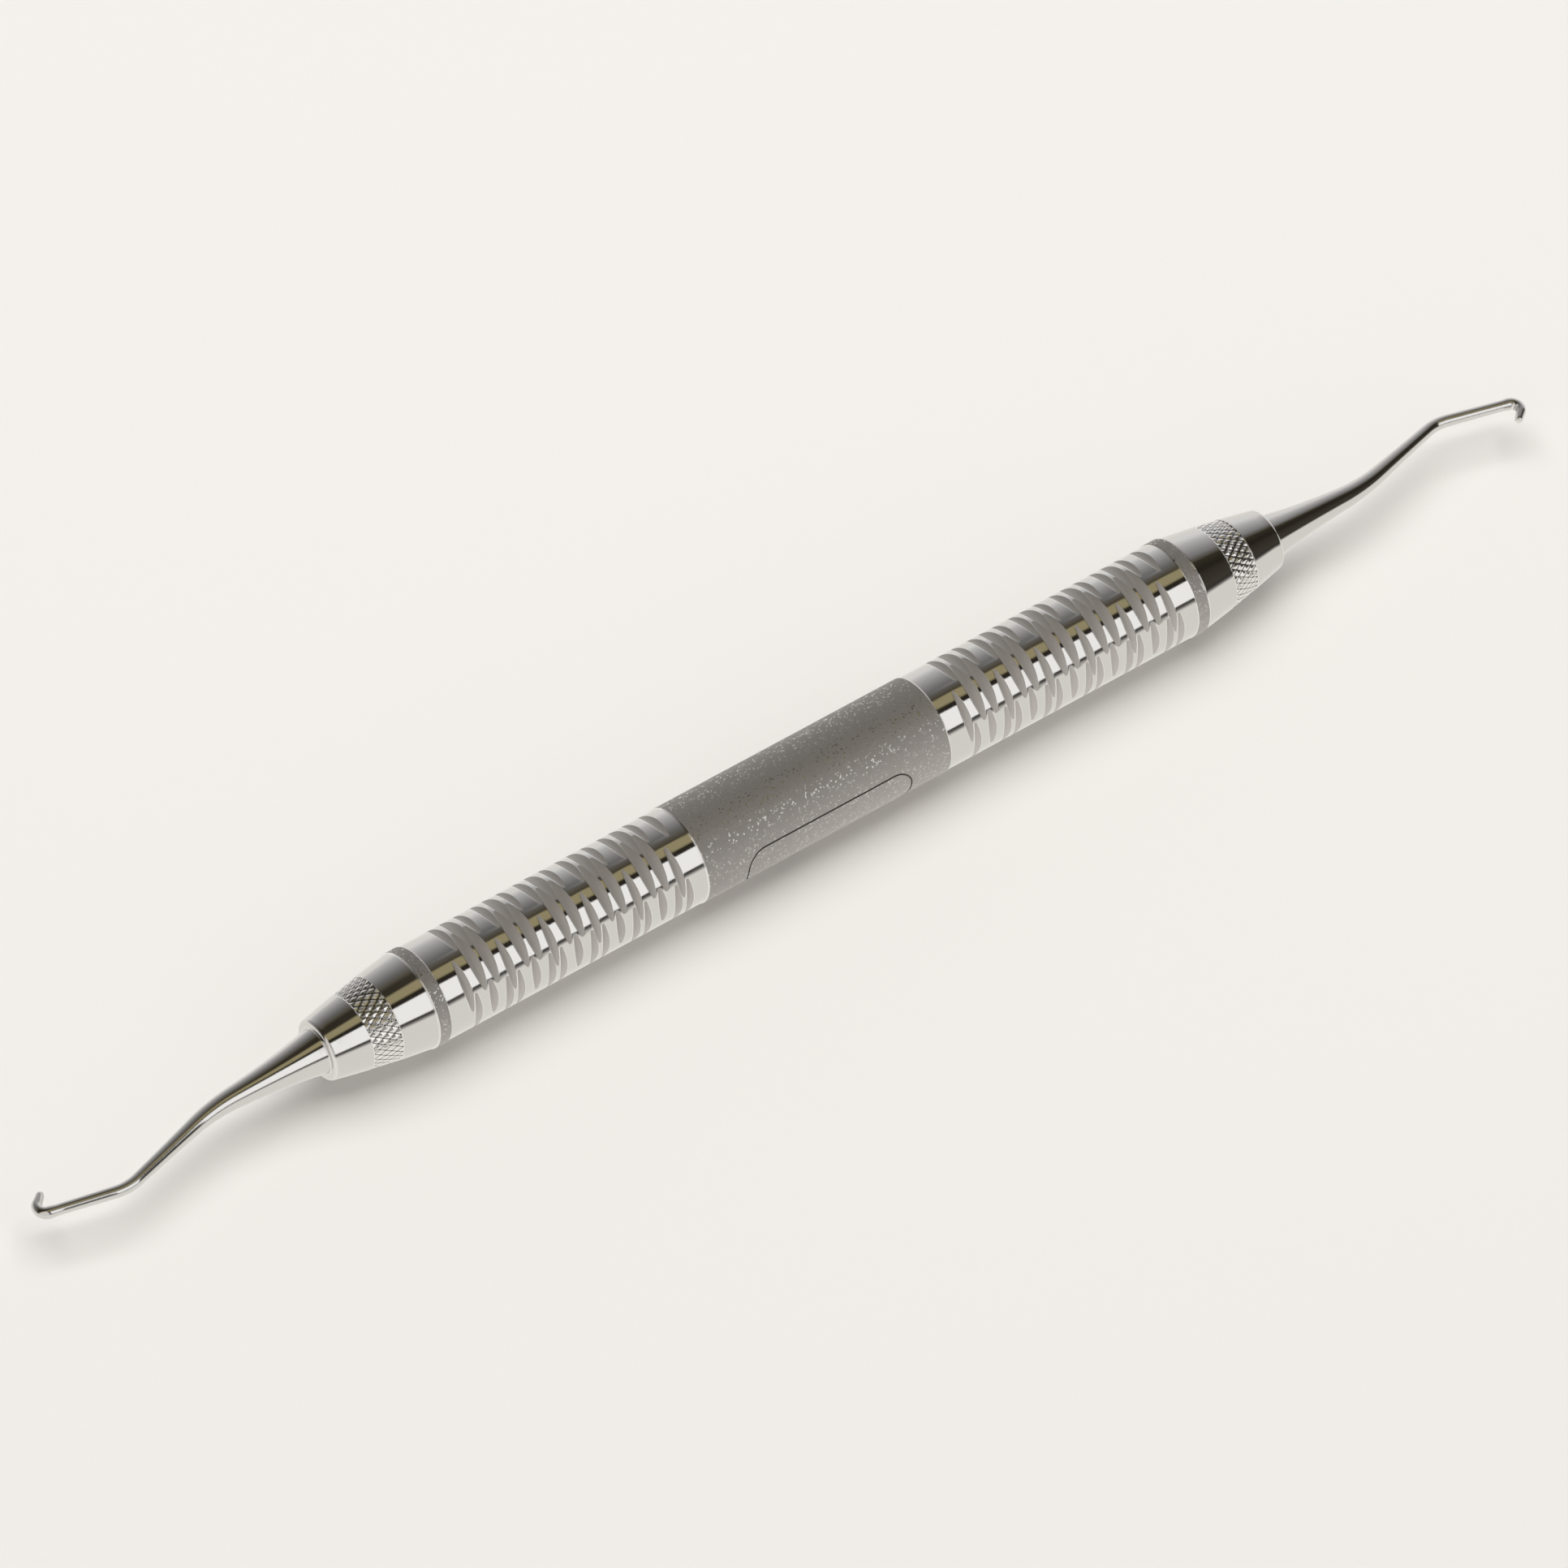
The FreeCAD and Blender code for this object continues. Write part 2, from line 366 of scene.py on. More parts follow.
def oval_cutter(angle, spread, width):
    """Cutter for an oval at x = 0, its middle turned this far from the top of the handle to the viewer."""
    offset = RECESS_DEPTH / (1 - math.cos(math.radians(spread / 2)))
    reach = ZONE_RADIUS - RECESS_DEPTH + offset
    drawn_back = (math.sqrt(2) - 1) * NOSE_ROUNDING
    point = reach - drawn_back
    bpy.ops.mesh.primitive_torus_add(major_radius=(point + NOSE_SIZE) * MM, minor_radius=NOSE_SIZE * MM,
                                     major_segments=144, minor_segments=4, rotation=(0, math.pi / 2, 0))
    cutter = bpy.context.object
    bpy.ops.object.transform_apply(location=True, rotation=True, scale=True)
    select_where(cutter, lambda p: math.hypot(p.y, p.z) < (point + CLOSE) * MM)
    bpy.ops.mesh.bevel(offset=NOSE_ROUNDING * MM, segments=6, affect="EDGES")
    bpy.ops.mesh.select_all(action="SELECT")
    stretch = width / 2 / (RECESS_DEPTH + drawn_back)
    bpy.ops.transform.resize(value=(stretch, 1, 1), center_override=(0, 0, 0))
    bpy.ops.object.mode_set(mode="OBJECT")
    half_arc = math.asin(ZONE_RADIUS * math.sin(math.radians(spread / 2)) / reach) * PAST_THE_POINTS
    select_where(cutter, lambda p: math.atan2(abs(p.y), p.z) > half_arc)
    bpy.ops.mesh.delete(type="VERT")
    bpy.ops.mesh.select_all(action="SELECT")
    bpy.ops.mesh.fill_holes(sides=0)
    bpy.ops.object.mode_set(mode="OBJECT")
    turned = math.radians(angle)
    back_off = Vector((0, math.sin(turned), -math.cos(turned))) * offset
    cutter.rotation_euler = (turned, 0, 0)
    cutter.location = (Vector((0, 0, AXIS_HEIGHT)) + back_off) * MM
    return cutter


# %% [markdown]
# The ovals repeat every 4.9 mm along the handle, and every half turn round it. Each row below is one oval:
# how far along the repeat it is, where its middle is seen from the viewer's side, how far round it reaches,
# and how wide it is.

# %% The repeat, and cutting it into both zones
# What faces the viewer on the handle is this many degrees in front of its top
VIEW_TURN = 37.1
PERIOD = 4.9
PERIODS = 5
FIRST_COLUMN = 2.5
OVALS = [(0.00, 16, 60, 0.90), (1.03, -55, 56, 0.92), (0.70, 57, 58, 0.82), (1.78, -9, 74, 1.20),
         (2.50, -54, 62, 1.20), (2.50, 45, 44, 0.92), (3.23, -10, 76, 1.20), (4.00, -58, 52, 0.82),
         (4.28, 57, 58, 0.88)]
ZONE_STARTS = [-ZONE_OUTER, GRIP_HALF]
ZONE_LENGTH = ZONE_OUTER - GRIP_HALF


def oval_places(along, width):
    """(x, turn) of every oval of a column: both zones, each repeat, and again half a turn round."""
    middles = [start + FIRST_COLUMN + period * PERIOD + along
               for start in ZONE_STARTS for period in range(PERIODS + 1)
               if width < FIRST_COLUMN + period * PERIOD + along < ZONE_LENGTH - width]
    return [(x, turned) for x in middles for turned in (0, math.pi)]


def oval_column(along, angle, spread, width):
    """All the cutters of one column, joined."""
    master = oval_cutter(VIEW_TURN + angle, spread, width)
    from_axis = Matrix.Translation((0, 0, -AXIS_HEIGHT * MM)) @ master.matrix_basis
    copies = []
    for x, turned in oval_places(along, width):
        copy = master.copy()
        copy.data = master.data.copy()
        bpy.context.scene.collection.objects.link(copy)
        to_place = Matrix.Translation((x * MM, 0, AXIS_HEIGHT * MM)) @ Matrix.Rotation(turned, 4, "X")
        copy.matrix_basis = to_place @ from_axis
        copies.append(copy)
    bpy.data.objects.remove(master)
    only(copies[0])
    for copy in copies:
        copy.select_set(True)
    bpy.ops.object.join()
    column = bpy.context.object
    column.data.materials.append(RECESS)
    settle(column)
    return column, len(copies)


def cut_ovals(piece):
    for oval in OVALS:
        column, count = oval_column(*oval)
        cut(piece, column)
        print(f"column at {oval[0]} mm: {count} ovals, handle now {len(piece.data.polygons)} faces")


cut_ovals(handle)

# %% [markdown]
# ## The engraved frame
#
# The dull grip carries a thin engraved frame with round corners, low on the viewer's side. The engraver
# follows the round surface at one depth. The cutter is a tall rounded block, less a smaller one, less a
# cylinder that is thinner than the grip by the depth of the line.

# %% Cut the frame into the grip
FRAME_LENGTH = 19.4
FRAME_WIDTH = 5.0
FRAME_CORNER = 2.0
FRAME_LINE = 0.16
FRAME_DEPTH = 0.06
FRAME_ANGLE = 104


def rounded_block(length, width, corner):
    """Block with round upright edges that stands on the handle's axis."""
    height = GRIP_RADIUS + 1
    bpy.ops.object.select_all(action="DESELECT")
    bpy.ops.mesh.primitive_cube_add(size=1, location=(0, 0, height / 2 * MM),
                                    scale=(length * MM, width * MM, height * MM))
    block = bpy.context.object
    bpy.ops.object.transform_apply(location=True, rotation=True, scale=True)
    select_edges(block, lambda a, b: abs(a.co.z - b.co.z) > height * MM / 2)
    bpy.ops.mesh.bevel(offset=corner * MM, segments=14, affect="EDGES")
    bpy.ops.object.mode_set(mode="OBJECT")
    block.data.materials.append(ENGRAVED)
    return block


def cut_frame(piece):
    frame_cutter = rounded_block(FRAME_LENGTH, FRAME_WIDTH, FRAME_CORNER)
    cut(frame_cutter, rounded_block(FRAME_LENGTH - 2 * FRAME_LINE, FRAME_WIDTH - 2 * FRAME_LINE,
                                    FRAME_CORNER - FRAME_LINE))
    bpy.ops.object.select_all(action="DESELECT")
    bpy.ops.mesh.primitive_cylinder_add(vertices=AROUND, radius=(GRIP_RADIUS - FRAME_DEPTH) * MM,
                                        depth=2 * FRAME_LENGTH * MM, rotation=(0, math.pi / 2, 0))
    core = bpy.context.object
    core.data.materials.append(ENGRAVED)
    cut(frame_cutter, core)
    frame_cutter.rotation_euler = (math.radians(FRAME_ANGLE), 0, 0)
    frame_cutter.location = (0, 0, AXIS_HEIGHT * MM)
    settle(frame_cutter)
    cut(piece, frame_cutter)
    print("frame cut, handle now", len(piece.data.polygons), "faces")


cut_frame(handle)

# %% [markdown]
# ## Blasting the grip and the rings
#
# The grip and the two narrow rings are blasted after polishing, with the zones masked. They are the only
# surfaces at the full radius, so they are picked out by how far they lie from the axis.

# %% Give the blasted bands their finish
def blast(piece):
    """Polished faces of the grip and the rings get the blasted finish."""
    piece.data.materials.append(MATTE)
    finishes = [slot.material for slot in piece.material_slots]
    for face in piece.data.polygons:
        x = abs(face.center.x) / MM
        outer = radius_of(face.center) > (ZONE_RADIUS + GRIP_RADIUS) / 2
        bare = finishes[face.material_index] == POLISHED
        if bare and outer and (x < GRIP_HALF or x > ZONE_OUTER):
            face.material_index = finishes.index(MATTE)


blast(handle)
settle(handle, angle=12)
print("handle:", len(handle.data.polygons), "faces")

# %% [markdown]
# ## The end cones
#
# Each end of the tube is closed by a turned plug. What shows of it is a slightly bulged cone with a band of
# diamond knurling and a rounded lip. Knurling is pressed in by two ridged wheels whose ridges cross, which
# leaves little pyramids. Two crossing sets of grooves could be cut one by one, but it is simpler to grow the
# band in narrow rings and lift every vertex between the grooves: eight rows and columns make a diamond.

# %% Outline of an end cone
CONE_LENGTH = MOUTH - TUBE_END
CONE_BIG = 4.97
CONE_SMALL = 3.1
CONE_BULGE = 0.12
CONE_STEPS = 5
LIP = 0.35
LIP_STEPS = 6
SPIGOT_CHAMFER = 0.3
TANG_RADIUS = 2.4
TANG_LENGTH = 8.0
POCKET_GAP = 0.5
KNURL_START = 3.75
KNURL_WIDTH = 2.9
KNURL_END = KNURL_START + KNURL_WIDTH
KNURL_DEPTH = 0.11
STEPS = 8
DIAMONDS_AROUND = 36
DIAMONDS_ALONG = 2.5
KNURL_ROWS = round(DIAMONDS_ALONG * STEPS)


def cone_radius(distance):
    """Radius of the plain cone at a distance from the end of the tube; it bulges most in the middle."""
    along = distance / CONE_LENGTH
    return CONE_BIG + (CONE_SMALL - CONE_BIG) * along + CONE_BULGE * 4 * along * (1 - along)


def cone_rings():
    """From the inner end of the spigot, over the cone and its lip, to the bottom of the blind bore."""
    lip_start = CONE_LENGTH - LIP
    rings = [(SPIGOT_END, BORE_RADIUS - SPIGOT_CHAMFER), (SPIGOT_END + SPIGOT_CHAMFER, BORE_RADIUS),
             (TUBE_END, BORE_RADIUS)]
    rings += [(TUBE_END + d, cone_radius(d)) for d in evenly(0, KNURL_START, CONE_STEPS)]
    rings += [(TUBE_END + d, cone_radius(d) - KNURL_DEPTH)
              for d in evenly(KNURL_START, KNURL_END, KNURL_ROWS)]
    rings += [(TUBE_END + d, cone_radius(d)) for d in evenly(KNURL_END, lip_start, CONE_STEPS)]
    for turned in evenly(0, math.pi / 2, LIP_STEPS)[1:]:
        rings.append((MOUTH - LIP + LIP * math.sin(turned),
                      cone_radius(lip_start) - LIP + LIP * math.cos(turned)))
    return rings + [(MOUTH, TANG_RADIUS), (MOUTH - TANG_LENGTH - POCKET_GAP, TANG_RADIUS)]


# %% Press the knurling
# Knurl faces lower than this share of the full height get the dark colour of painted shade
GROOVE_SHARE = 0.2


def knurl_height(row, column):
    """Share of the full height at a grid point: nothing in a groove, all of it midway between grooves."""
    across = [(row + sign * column) % STEPS for sign in (1, -1)]
    return min(min(a, STEPS - a) for a in across) / (STEPS / 2)


def lift_knurl(cone, level):
    """Scale the band's vertices of one height away from the axis.

    The depth below the plain cone tells them from those of the cone itself and of the bore.
    """
    pitch = KNURL_WIDTH / KNURL_ROWS

    def wanted(point):
        distance = point.x / MM - TUBE_END - KNURL_START
        row = round(distance / pitch)
        depth = cone_radius(distance + KNURL_START) - radius_of(point)
        on_a_ring = 0 <= row <= KNURL_ROWS and abs(row * pitch - distance) <= CLOSE
        if not on_a_ring or not 0.5 * KNURL_DEPTH < depth <= 1.5 * KNURL_DEPTH:
            return False
        share_of_turn = math.atan2(point.y, point.z - AXIS_HEIGHT * MM) / (2 * math.pi)
        return knurl_height(row, round(share_of_turn * DIAMONDS_AROUND * STEPS)) == level

    select_where(cone, wanted)
    middle = KNURL_START + KNURL_WIDTH / 2
    size = 1 + level * KNURL_DEPTH / (cone_radius(middle) - KNURL_DEPTH)
    bpy.ops.transform.resize(value=(1, size, size),
                             center_override=((TUBE_END + middle) * MM, 0, AXIS_HEIGHT * MM))
    bpy.ops.object.mode_set(mode="OBJECT")


def end_cone():
    """The plug of one end, with its knurling."""
    cone = turn("right_cone", cone_rings(), POLISHED, around=DIAMONDS_AROUND * STEPS)
    cone.data.materials.append(KNURL_TOPS_HIGHLIGHT)
    cone.data.materials.append(PAINTED_GROOVE_SHADE)
    for level in evenly(0, 1, STEPS // 2)[1:]:
        lift_knurl(cone, level)
    settle(cone, angle=20)
    # Faces near the tops get the brightly painted steel, a painted highlight; the low faces in the grooves
    # get painted shade
    for face in cone.data.polygons:
        distance = face.center.x / MM - TUBE_END
        if KNURL_START < distance < KNURL_END and radius_of(face.center) > TANG_RADIUS + KNURL_DEPTH:
            height = 1 - (cone_radius(distance) - radius_of(face.center)) / KNURL_DEPTH
            face.material_index = 1 if height > GROOVE_SHARE else 2
    return cone


right_cone = end_cone()
print("end cone:", len(right_cone.data.polygons), "faces")

# %% [markdown]
# ## The working ends
#
# A working end is one piece of bar: a plug that is pressed into the cone, a shank that slims and is bent
# twice, and the blade, which is the end of the bar curled back, with a round back and a round toe. A curve
# with a radius at each point gives the bent bar in one go. A leaning wedge then grinds the flat face on the
# inner side of the curl. It leans 20 degrees, so that the face stands 70 degrees to the terminal shank, as
# on every Gracey blade, and the wedge's rounded edge leaves the small fillet at the heel.

# %% The bends of the bar, in mm from the mouth of the cone
SHOULDER = 0.02
ROOT_DIAMETER = 4.7
SLIM_DIAMETER = 1.0
TAPER_LENGTH = 8.8
FIRST_BEND = Vector((11.9, 0, -0.25))
ELBOW = Vector((23.45, 3.06, -0.72))
HEEL = Vector((30.95, 1.06, -0.88))
FIRST_BEND_RADIUS = 20.0
ELBOW_RADIUS = 5.0
BLADE_RADIUS = 0.9
BLADE_TURN = 125
BLADE_LENGTH = 1.0
BLADE_STEPS = 40
HEEL_RADIUS = 0.62
TOE_RADIUS = 0.44
# Rings of the round toe in degrees from its widest, closed by a tiny cap
TOE_LATITUDES = (0, 12, 24, 36, 48, 58, 68, 76, 82, 87)
UP = Vector((0, 0, 1))


def shank_radius(distance):
    """The shank slims quickly at first and then hardly at all."""
    return (SLIM_DIAMETER + (ROOT_DIAMETER - SLIM_DIAMETER) * math.exp(-distance / TAPER_LENGTH)) / 2


def bend(before, corner, after, radius, count):
    """Points round a corner of the route."""
    enter, leave = (corner - before).normalized(), (after - corner).normalized()
    angle = enter.angle(leave)
    side = (leave - enter * enter.dot(leave)).normalized()
    start = corner - enter * radius * math.tan(angle / 2)
    return [start + enter * radius * math.sin(a) + side * radius * (1 - math.cos(a))
            for a in evenly(0, angle, count - 1)]


def between(start, end, count):
    """Points between two others, without those two."""
    return evenly(start, end, count + 1)[1:-1]


def blade_frame():
    """Directions at the heel: along the terminal shank, level across it, and upright."""
    forward = (HEEL - ELBOW).normalized()
    level = UP.cross(forward).normalized()
    return forward, level, forward.cross(level)


# %% The route of the bar
def shank_route():
    """(point, radius) from the end of the plug to the heel."""
    start = Vector((0, 0, 0))
    first = bend(start, FIRST_BEND, ELBOW, FIRST_BEND_RADIUS, count=10)
    second = bend(FIRST_BEND, ELBOW, HEEL, ELBOW_RADIUS, count=14)
    shank = ([start] + between(start, first[0], count=16) + first
             + between(first[-1], second[0], count=8) + second + between(second[-1], HEEL, count=8))
    plug = [(Vector((-TANG_LENGTH, 0, 0)), TANG_RADIUS), (Vector((-SHOULDER, 0, 0)), TANG_RADIUS)]
    return plug + [(point, shank_radius(point.x)) for point in shank]


def blade_route():
    """(point, radius) round the curl of the blade and over its round toe."""
    forward, level, _ = blade_frame()
    turned = math.radians(BLADE_TURN)
    slimming = (HEEL_RADIUS - TOE_RADIUS) / (BLADE_RADIUS * turned + BLADE_LENGTH)
    curl = [(HEEL + forward * BLADE_RADIUS * math.sin(a) - level * BLADE_RADIUS * (1 - math.cos(a)),
             HEEL_RADIUS - slimming * BLADE_RADIUS * a) for a in evenly(0, turned, BLADE_STEPS)]
    ahead = forward * math.cos(turned) - level * math.sin(turned)
    toe = curl[-1][0] + ahead * BLADE_LENGTH
    straight = [(spot, TOE_RADIUS + slimming * (toe - spot).length)
                for spot in between(curl[-1][0], toe, count=6)]
    dome = [(toe + ahead * TOE_RADIUS * math.sin(a), TOE_RADIUS * math.cos(a))
            for a in map(math.radians, TOE_LATITUDES)]
    return curl + straight + dome


# %% The bent bar
def bent_bar(name):
    data = bpy.data.curves.new(name, "CURVE")
    data.dimensions = "3D"
    data.twist_mode = "MINIMUM"
    data.bevel_depth = MM
    data.bevel_resolution = 14
    data.use_fill_caps = True
    bar = shank_route() + blade_route()
    spline = data.splines.new("POLY")
    spline.points.add(len(bar) - 1)
    mouth = Vector((MOUTH, 0, AXIS_HEIGHT))
    for spot, (point, radius) in zip(spline.points, bar):
        spot.co = (*((mouth + point) * MM), 1)
        spot.radius = radius
    piece = bpy.data.objects.new(name, data)
    bpy.context.scene.collection.objects.link(piece)
    only(piece)
    bpy.ops.object.convert(target="MESH")
    piece = bpy.context.object
    piece.data.materials.clear()
    piece.data.materials.append(POLISHED)
    settle(piece)
    return piece


# %% Grind the face of the blade
FACE_CORNER_ALONG = 0.60
FACE_CORNER_ASIDE = 0.68
FACE_CORNER_RADIUS = 0.12
FACE_TURN = 116
FACE_TO_SHANK = 70
WEDGE_SIZE = 6 * HEEL_RADIUS


def grinding_wedge():
    """Leaning wedge inside the curl: one side lies along the shank, the other grinds the face."""
    forward, level, upright = blade_frame()
    opening = math.radians(180 - FACE_TURN)
    half = WEDGE_SIZE / 2 * MM
    bpy.ops.object.select_all(action="DESELECT")
    bpy.ops.mesh.primitive_cube_add(size=1, location=(half, half, 0), scale=(2 * half,) * 3)
    wedge = bpy.context.object
    bpy.ops.object.transform_apply(location=True, rotation=True, scale=True)
    select_where(wedge, lambda p: p.y > half)
    bpy.ops.transform.translate(value=(2 * half / math.tan(opening), 0, 0))
    slope = math.tan(math.radians(90 - FACE_TO_SHANK)) * half
    for side in (1, -1):
        select_where(wedge, lambda p: p.z * side > 0)
        bpy.ops.transform.translate(value=(-side * slope * math.sin(opening),
                                           side * slope * math.cos(opening), 0))
    bpy.ops.object.mode_set(mode="OBJECT")
    corner = {v.index for v in sorted(wedge.data.vertices, key=lambda v: v.co.x + v.co.y)[:2]}
    select_edges(wedge, lambda a, b: {a.index, b.index} == corner)
    bpy.ops.mesh.bevel(offset=FACE_CORNER_RADIUS / math.tan(opening / 2) * MM, segments=8, affect="EDGES")
    bpy.ops.object.mode_set(mode="OBJECT")
    place = Vector((MOUTH, 0, AXIS_HEIGHT)) + HEEL + forward * FACE_CORNER_ALONG - level * FACE_CORNER_ASIDE
    axes = Matrix((-forward, -level, upright)).transposed().to_4x4()
    wedge.matrix_world = Matrix.Translation(place * MM) @ axes
    wedge.data.materials.append(HONED)
    settle(wedge)
    return wedge


right_tip = bent_bar("right_working_end_bar")
cut(right_tip, grinding_wedge())
settle(right_tip)
print("working end:", len(right_tip.data.polygons), "faces")

# %% [markdown]
# ## The other end
#
# Both ends of the instrument are made of the same two pieces. Building them again at the other end would only
# invite mistakes, so the finished cone and bar are copied, each with a mesh of its own, and turned half a
# turn about the middle of the handle. A mirror is no substitute: it would bend the shank to the wrong side.

# %% The cone and the bar once more, half a turn round
def half_turn(piece, name):
    """A copy of a finished piece at the other end of the handle."""
    only(piece)
    bpy.ops.object.duplicate(linked=False)
    copy = bpy.context.object
    copy.name = copy.data.name = name
    bpy.ops.object.mode_set(mode="EDIT")
    bpy.ops.mesh.select_all(action="SELECT")
    bpy.ops.transform.rotate(value=math.pi, orient_axis="Z", center_override=(0, 0, 0))
    bpy.ops.object.mode_set(mode="OBJECT")
    return copy


left_cone = half_turn(right_cone, "left_cone")
left_tip = half_turn(right_tip, "left_working_end_bar")
print("turned copies:", left_cone.name, "-", left_tip.name)

# %% [markdown]
# ## Camera
#
# The camera looks down at the instrument from in front and to the left, from far away through a long lens,
# so there is hardly any perspective. The focal length is given in the photograph's own pixels and the
# distance in millimetres, because that is how they are found from two known points of the object.

# %% Camera
PHOTO_SIZE = 1932
SENSOR_WIDTH = 36
FOCAL_PIXELS = 16490
VIEW_AZIMUTH = -36.5
VIEW_ELEVATION = 46.8
VIEW_DISTANCE = 1273
CENTRE_PIXEL = (985, 974)


def make_camera():
    azimuth, elevation = math.radians(VIEW_AZIMUTH), math.radians(VIEW_ELEVATION)
    back = Vector((math.sin(azimuth) * math.cos(elevation), -math.cos(azimuth) * math.cos(elevation),
                   math.sin(elevation)))
    data = bpy.data.cameras.new("camera")
    data.sensor_width = SENSOR_WIDTH
    data.lens = FOCAL_PIXELS / PHOTO_SIZE * SENSOR_WIDTH
    data.clip_start, data.clip_end = 0.05, 20
    camera = bpy.data.objects.new("camera", data)
    bpy.context.scene.collection.objects.link(camera)
    camera.rotation_mode = "QUATERNION"
    camera.rotation_quaternion = (-back).to_track_quat("-Z", "Y")
    mm_per_pixel = VIEW_DISTANCE / FOCAL_PIXELS
    middle = PHOTO_SIZE / 2
    aside = Vector((middle - CENTRE_PIXEL[0], CENTRE_PIXEL[1] - middle, 0)) * mm_per_pixel
    turned = camera.rotation_quaternion.to_matrix()
    camera.location = (Vector((0, 0, AXIS_HEIGHT)) + back * VIEW_DISTANCE + turned @ aside) * MM
    bpy.context.scene.camera = camera
    return camera


camera = make_camera()
print(f"camera with a lens of {camera.data.lens:.0f} mm, {VIEW_DISTANCE} mm away")

# %% [markdown]
# ## The floor
#
# A sheet of pale paper, with the object's soft shadow on it. The steel is a mirror, so the floor is also half
# of what the steel shows. Mirror rays get one plain colour, a little paler than the paper and without the
# shadow: in the photograph the underside of the handle stays pale right down to its edge.

# %% Floor, its size in metres
PAPER = "#E6E4E1"
PAPER_IN_STEEL = "#F1EFEB"
SHEET_SIZE = 6


def make_floor():
    bpy.ops.object.select_all(action="DESELECT")
    bpy.ops.mesh.primitive_plane_add(size=SHEET_SIZE, location=(0, 0, 0))
    sheet = bpy.context.object
    sheet.name = "floor"
    paper = bpy.data.materials.new("pale paper")
    paper.use_nodes = True
    tree = paper.node_tree
    shader = tree.nodes["Principled BSDF"]
    shader.inputs["Base Color"].default_value = linear(PAPER)
    shader.inputs["Roughness"].default_value = 0.9
    plain = node(tree, "ShaderNodeEmission", {"Color": linear(PAPER_IN_STEEL), "Strength": 1.0})
    rays = node(tree, "ShaderNodeLightPath")
    shown = node(tree, "ShaderNodeMixShader", {0: rays.outputs["Is Glossy Ray"], 1: shader.outputs["BSDF"],
                                               2: plain.outputs["Emission"]})
    tree.links.new(shown.outputs["Shader"], tree.nodes["Material Output"].inputs["Surface"])
    sheet.data.materials.append(paper)
    return sheet


floor = make_floor()
print("floor of", floor.material_slots[0].material.name)

# %% [markdown]
# ## The room
#
# Polished steel has no look of its own: it shows the room. A round bar squeezes the room into narrow bands,
# so the room only has to be right by its angle above and in front of the bar. Going round from behind, over
# the top and down to the front, it is a pale back wall that darkens towards the ceiling, a dark ceiling, a
# thin brass-coloured strip, and a bright window in a dark wall. The back wall reaches higher towards the
# right. The strip and the window end at the sides, which is why the cone that points away to the right shows
# neither. A pale wall at the far left hardly shows in the mirror, but it lights the dull steel.

# %% World: room colours by degrees from straight up, towards the viewer
ROOM = [(-90, "#F0F0F0"), (-83, "#ECECEC"), (-67, "#CACACA"), (-51, "#B0B0B0"), (-35, "#939393"),
        (-19, "#737372"), (-3, "#5A5449"), (5, "#3A362C"), (28, "#2A2620"), (37, "#38322C"),
        (70, "#45413A"), (79, "#3A3733"), (84, "#6A6868"), (90, "#E8E4DE")]
# How many degrees the back wall shifts from left to right, and where overhead that fades out
LEAN_ACROSS = (-0.1, 0.9)
LEAN_ANGLES = (30, -30)
LEAN_FADE = (5, -12)
# The strip, the window, which is a little brighter than white, and the wall at the far left
STRIP = {"angles": (4, 24), "across": (-1.0, 0.55), "colour": linear("#A39977"), "soft": 3}
WINDOW = {"angles": (36, 77), "across": (-0.06, 0.55), "colour": (1.15, 1.15, 1.15, 1.0), "soft": 1}
SIDE_WALL = {"angles": (8, 88), "across": (-1.0, -0.3), "colour": linear("#E8E5E2"), "soft": 8}
SIDE_SOFTNESS = 0.03


def between_limits(tree, value, low, high, soft):
    """One between two limits, nothing outside them, with soft edges."""
    rise = node(tree, "ShaderNodeMapRange", {"Value": value, "From Min": low - soft, "From Max": low + soft},
                interpolation_type="SMOOTHSTEP")
    fall = node(tree, "ShaderNodeMapRange", {"Value": value, "From Min": high + soft,
                                             "From Max": high - soft}, interpolation_type="SMOOTHSTEP")
    both = node(tree, "ShaderNodeMath", {0: rise.outputs["Result"], 1: fall.outputs["Result"]},
                operation="MULTIPLY")
    return both.outputs[0]


def panel(tree, behind, angle, x, angles, across, colour, soft):
    """A panel of one colour in front of what is behind it."""
    low, high = map(math.radians, angles)
    tall = between_limits(tree, angle, low, high, math.radians(soft))
    wide = between_limits(tree, x, *across, SIDE_SOFTNESS)
    share = node(tree, "ShaderNodeMath", {0: tall, 1: wide}, operation="MULTIPLY")
    mixed = node(tree, "ShaderNodeMix", {"Factor": share.outputs[0], 6: behind, 7: colour},
                 data_type="RGBA")
    return mixed.outputs[2]


def leaning(tree, angle, x):
    """The angle as the back wall sees it: it shifts across the room, and only behind the bar."""
    lean = node(tree, "ShaderNodeMapRange", {"Value": x, "From Min": LEAN_ACROSS[0],
                                             "From Max": LEAN_ACROSS[1],
                                             "To Min": math.radians(LEAN_ANGLES[0]),
                                             "To Max": math.radians(LEAN_ANGLES[1])})
    behind = node(tree, "ShaderNodeMapRange", {"Value": angle, "From Min": math.radians(LEAN_FADE[0]),
                                               "From Max": math.radians(LEAN_FADE[1])})
    shifted = node(tree, "ShaderNodeMath", {0: lean.outputs["Result"], 1: behind.outputs["Result"],
                                            2: angle}, operation="MULTIPLY_ADD")
    return shifted.outputs[0]


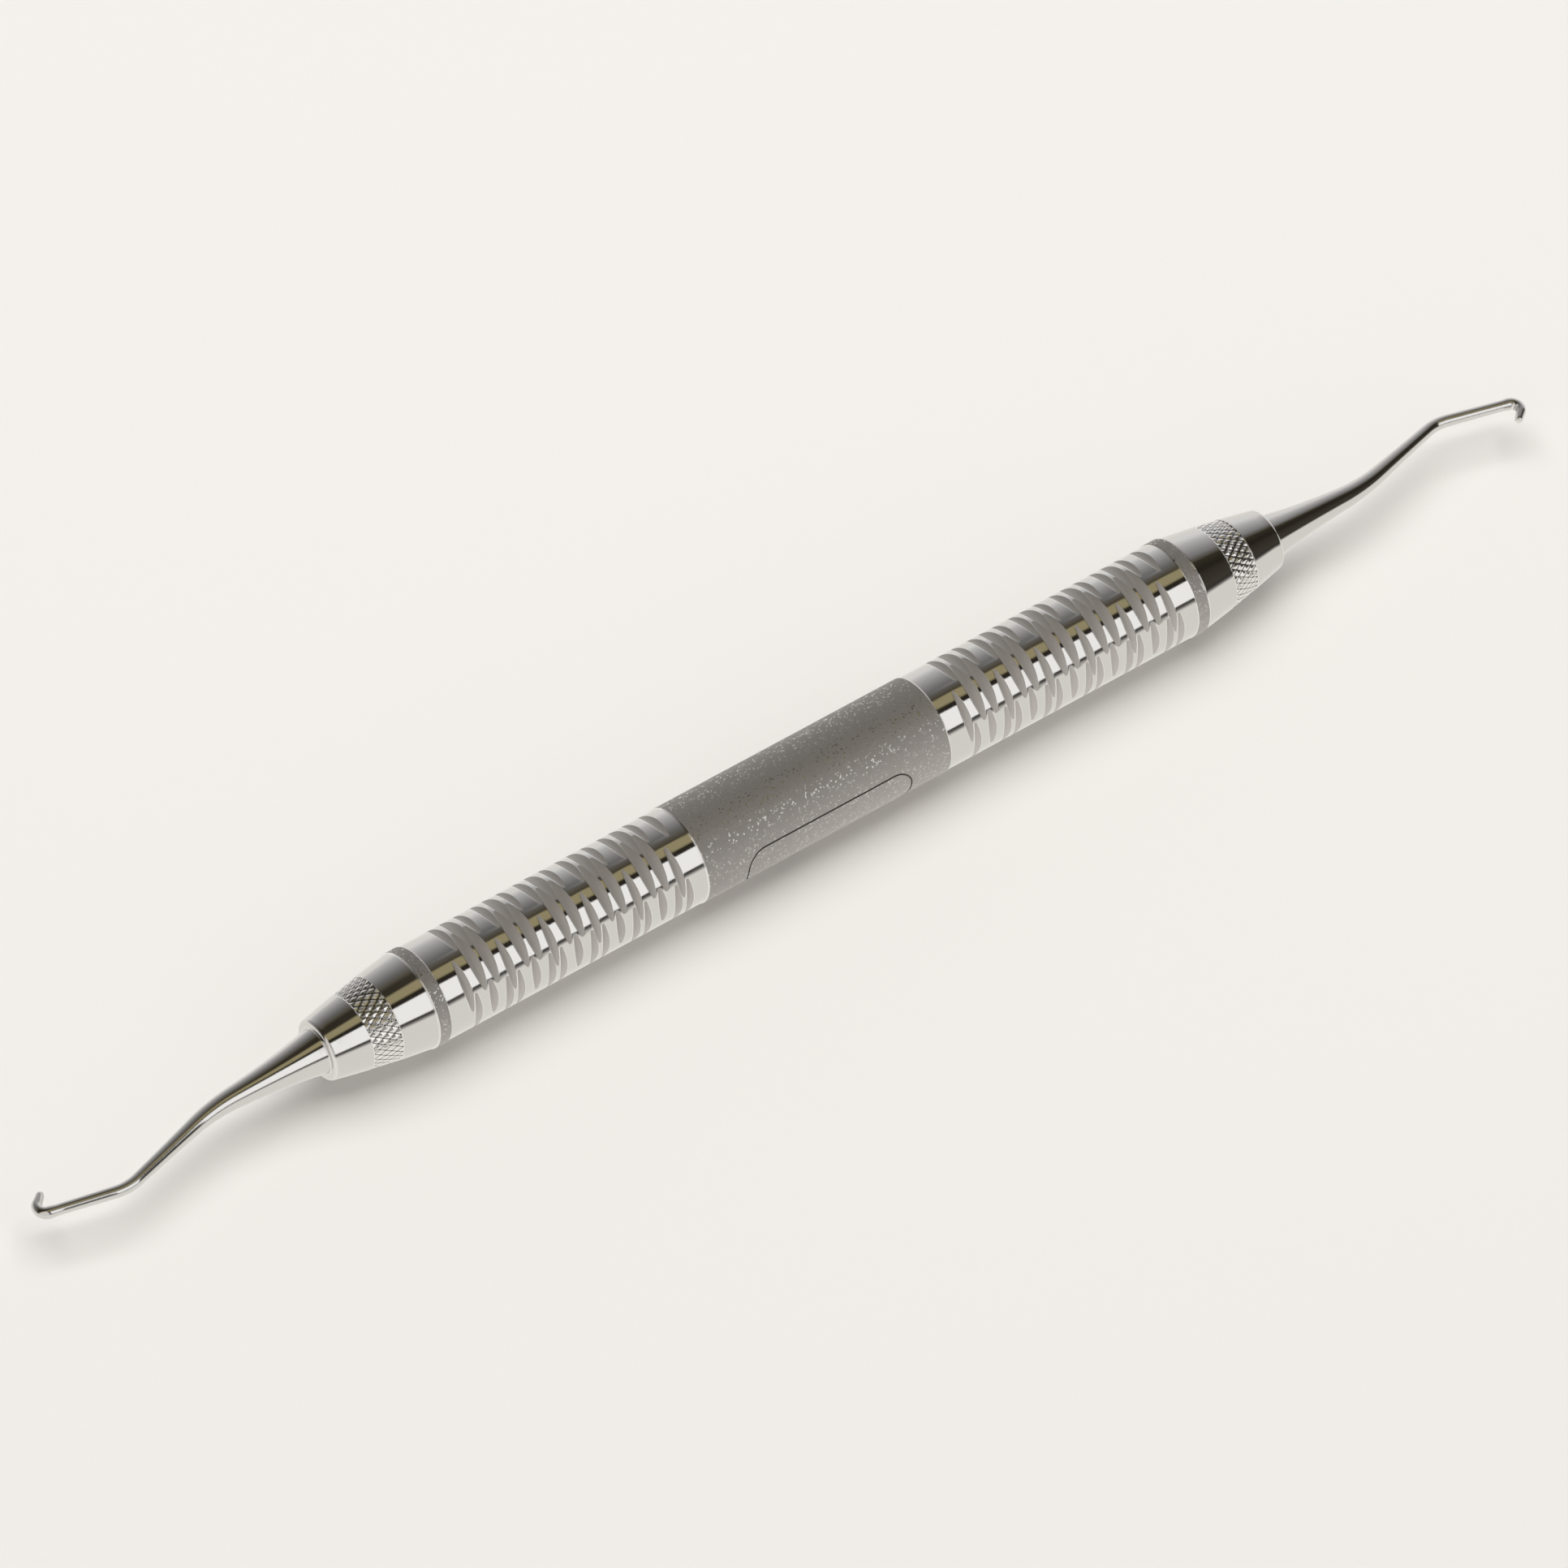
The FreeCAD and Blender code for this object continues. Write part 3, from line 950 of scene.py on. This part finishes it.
def make_world():
    world = bpy.data.worlds.new("studio")
    bpy.context.scene.world = world
    world.use_nodes = True
    tree = world.node_tree
    place = node(tree, "ShaderNodeTexCoord")
    split = node(tree, "ShaderNodeSeparateXYZ", {"Vector": place.outputs["Generated"]})
    x = split.outputs["X"]
    front = node(tree, "ShaderNodeMath", {0: split.outputs["Y"], 1: -1.0}, operation="MULTIPLY")
    angle = node(tree, "ShaderNodeMath", {0: front.outputs[0], 1: split.outputs["Z"]},
                 operation="ARCTAN2").outputs[0]
    share = node(tree, "ShaderNodeMapRange", {"Value": leaning(tree, angle, x), "From Min": -math.pi,
                                              "From Max": math.pi})
    ramp = node(tree, "ShaderNodeValToRGB", {"Fac": share.outputs["Result"]})
    stops = ramp.color_ramp.elements
    stops.remove(stops[1])
    for degrees, colour in ROOM:
        stops.new((degrees + 180) / 360).color = linear(colour)
    stops.remove(stops[0])
    view = ramp.outputs["Color"]
    for screen in (STRIP, WINDOW, SIDE_WALL):
        view = panel(tree, view, angle, x, **screen)
    tree.links.new(view, tree.nodes["Background"].inputs["Color"])
    return world


world = make_world()
bpy.context.scene.view_settings.view_transform = "Standard"
print("world:", world.name, "with", len(ROOM), "room colours and 3 panels")

# %% [markdown]
# ## The lamp
#
# One large soft lamp high above gives the floor its light and the object its shadow. The steel doesn't show
# it, because the room already holds everything that the steel shows.

# %% Lamp, in metres
LAMP_PLACE = Vector((0.1, 0.2, 1.2))
LAMP_SIZE = 1.4
LAMP_WATTS = 17


def soft_lamp():
    bpy.ops.object.select_all(action="DESELECT")
    bpy.ops.object.light_add(type="AREA", location=LAMP_PLACE)
    lamp = bpy.context.object
    lamp.name = "overhead_softbox"
    lamp.data.size = LAMP_SIZE
    lamp.data.energy = LAMP_WATTS
    lamp.rotation_mode = "QUATERNION"
    lamp.rotation_quaternion = (-LAMP_PLACE).to_track_quat("-Z", "Y")
    lamp.visible_glossy = False
    return lamp


print("lamp:", soft_lamp().name, "of", LAMP_WATTS, "W")

# %% [markdown]
# ## Handing the pieces over
#
# Each finished piece stands for one piece of the measured model. The whole instrument is rigid, so every
# piece rides on the one body.

# %% Hand the pieces over
STANDS_FOR = [(handle, "handle_tube", "matte_steel"),
              (right_cone, "right_end_cone", "polished_steel"),
              (left_cone, "left_end_cone", "polished_steel"),
              (right_tip, "right_working_end", "polished_steel"),
              (left_tip, "left_working_end", "polished_steel")]
for piece, cad_node, finish_slot in STANDS_FOR:
    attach(piece, "root")
    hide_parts(cad_node)
    print(piece.name, "stands for", cad_node, "with", len(piece.data.polygons), "faces")
